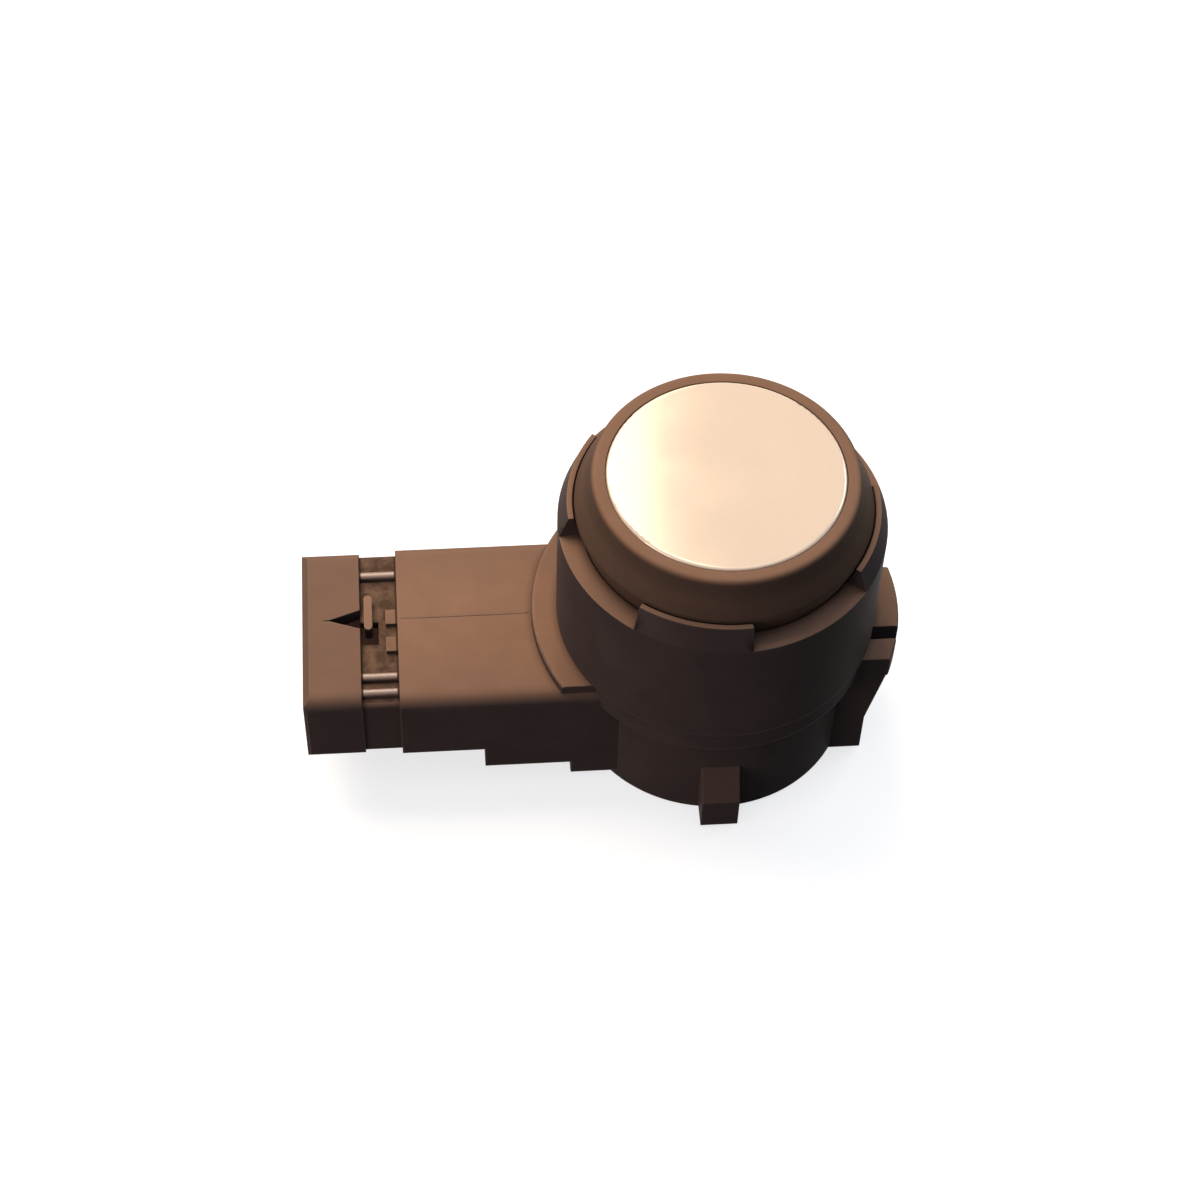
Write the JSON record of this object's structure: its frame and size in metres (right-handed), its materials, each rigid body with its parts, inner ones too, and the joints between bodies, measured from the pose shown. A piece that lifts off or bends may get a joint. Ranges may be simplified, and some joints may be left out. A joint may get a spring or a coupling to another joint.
{
  "type": "parking sensor",
  "caption": "Ultrasonic parking sensor: silver sounding face in a rubber ring, toothed round barrel with a flange, and a right-angle plug socket.",
  "frame": {"origin": "on the sounding axis, in the plane of the flange's seat at the foot of the barrel", "axes": "+Z out of the sounding face, -X towards the plug socket's mouth, rear face down"},
  "size_m": [0.0413, 0.0226, 0.0254],
  "materials": {
    "housing_plastic": "fine moulded texture, dark brown-black",
    "cover_plastic": "fine moulded texture, dark",
    "compound": "smooth cast surface",
    "ring_rubber": "soft matt rubber, dark",
    "silver_paint": "satin silver paint",
    "ring_metal": "turned metal",
    "ceramic": "fired ceramic with a printed electrode",
    "foam": "soft closed foam",
    "carrier_plastic": "moulded",
    "contact_metal": "plated",
    "red_lead": "insulated wire",
    "black_lead": "insulated wire",
    "board": "solder mask over glass laminate",
    "chip_resin": "moulded resin",
    "ferrite": "pressed ferrite",
    "copper_wire": "enamelled wire",
    "can_metal": "drawn can",
    "ceramic_chip": "fired ceramic",
    "terminal_metal": "tinned strip"
  },
  "bodies": {
    "root": {"housing": "housing_plastic", "rear_cover": "cover_plastic", "sealing_compound": "compound", "decoupling_ring": "ring_rubber", "membrane_cup": "silver_paint", "stiffening_ring": "ring_metal", "piezo_disc": "ceramic", "damping_pad": "foam", "contact_carrier": "carrier_plastic", "signal_pin": "contact_metal", "ground_pin": "contact_metal", "signal_lead": "red_lead", "ground_lead": "black_lead", "circuit_board": "board", "control_chip": "chip_resin", "transformer_base": "chip_resin", "transformer_core": "ferrite", "transformer_winding": "copper_wire", "storage_capacitor": "can_metal", "protection_diode": "chip_resin", "ceramic_capacitors": "ceramic_chip", "resistors": "chip_resin", "supply_terminal": "terminal_metal", "data_terminal": "terminal_metal", "ground_terminal": "terminal_metal"}
  },
  "joints": []
}
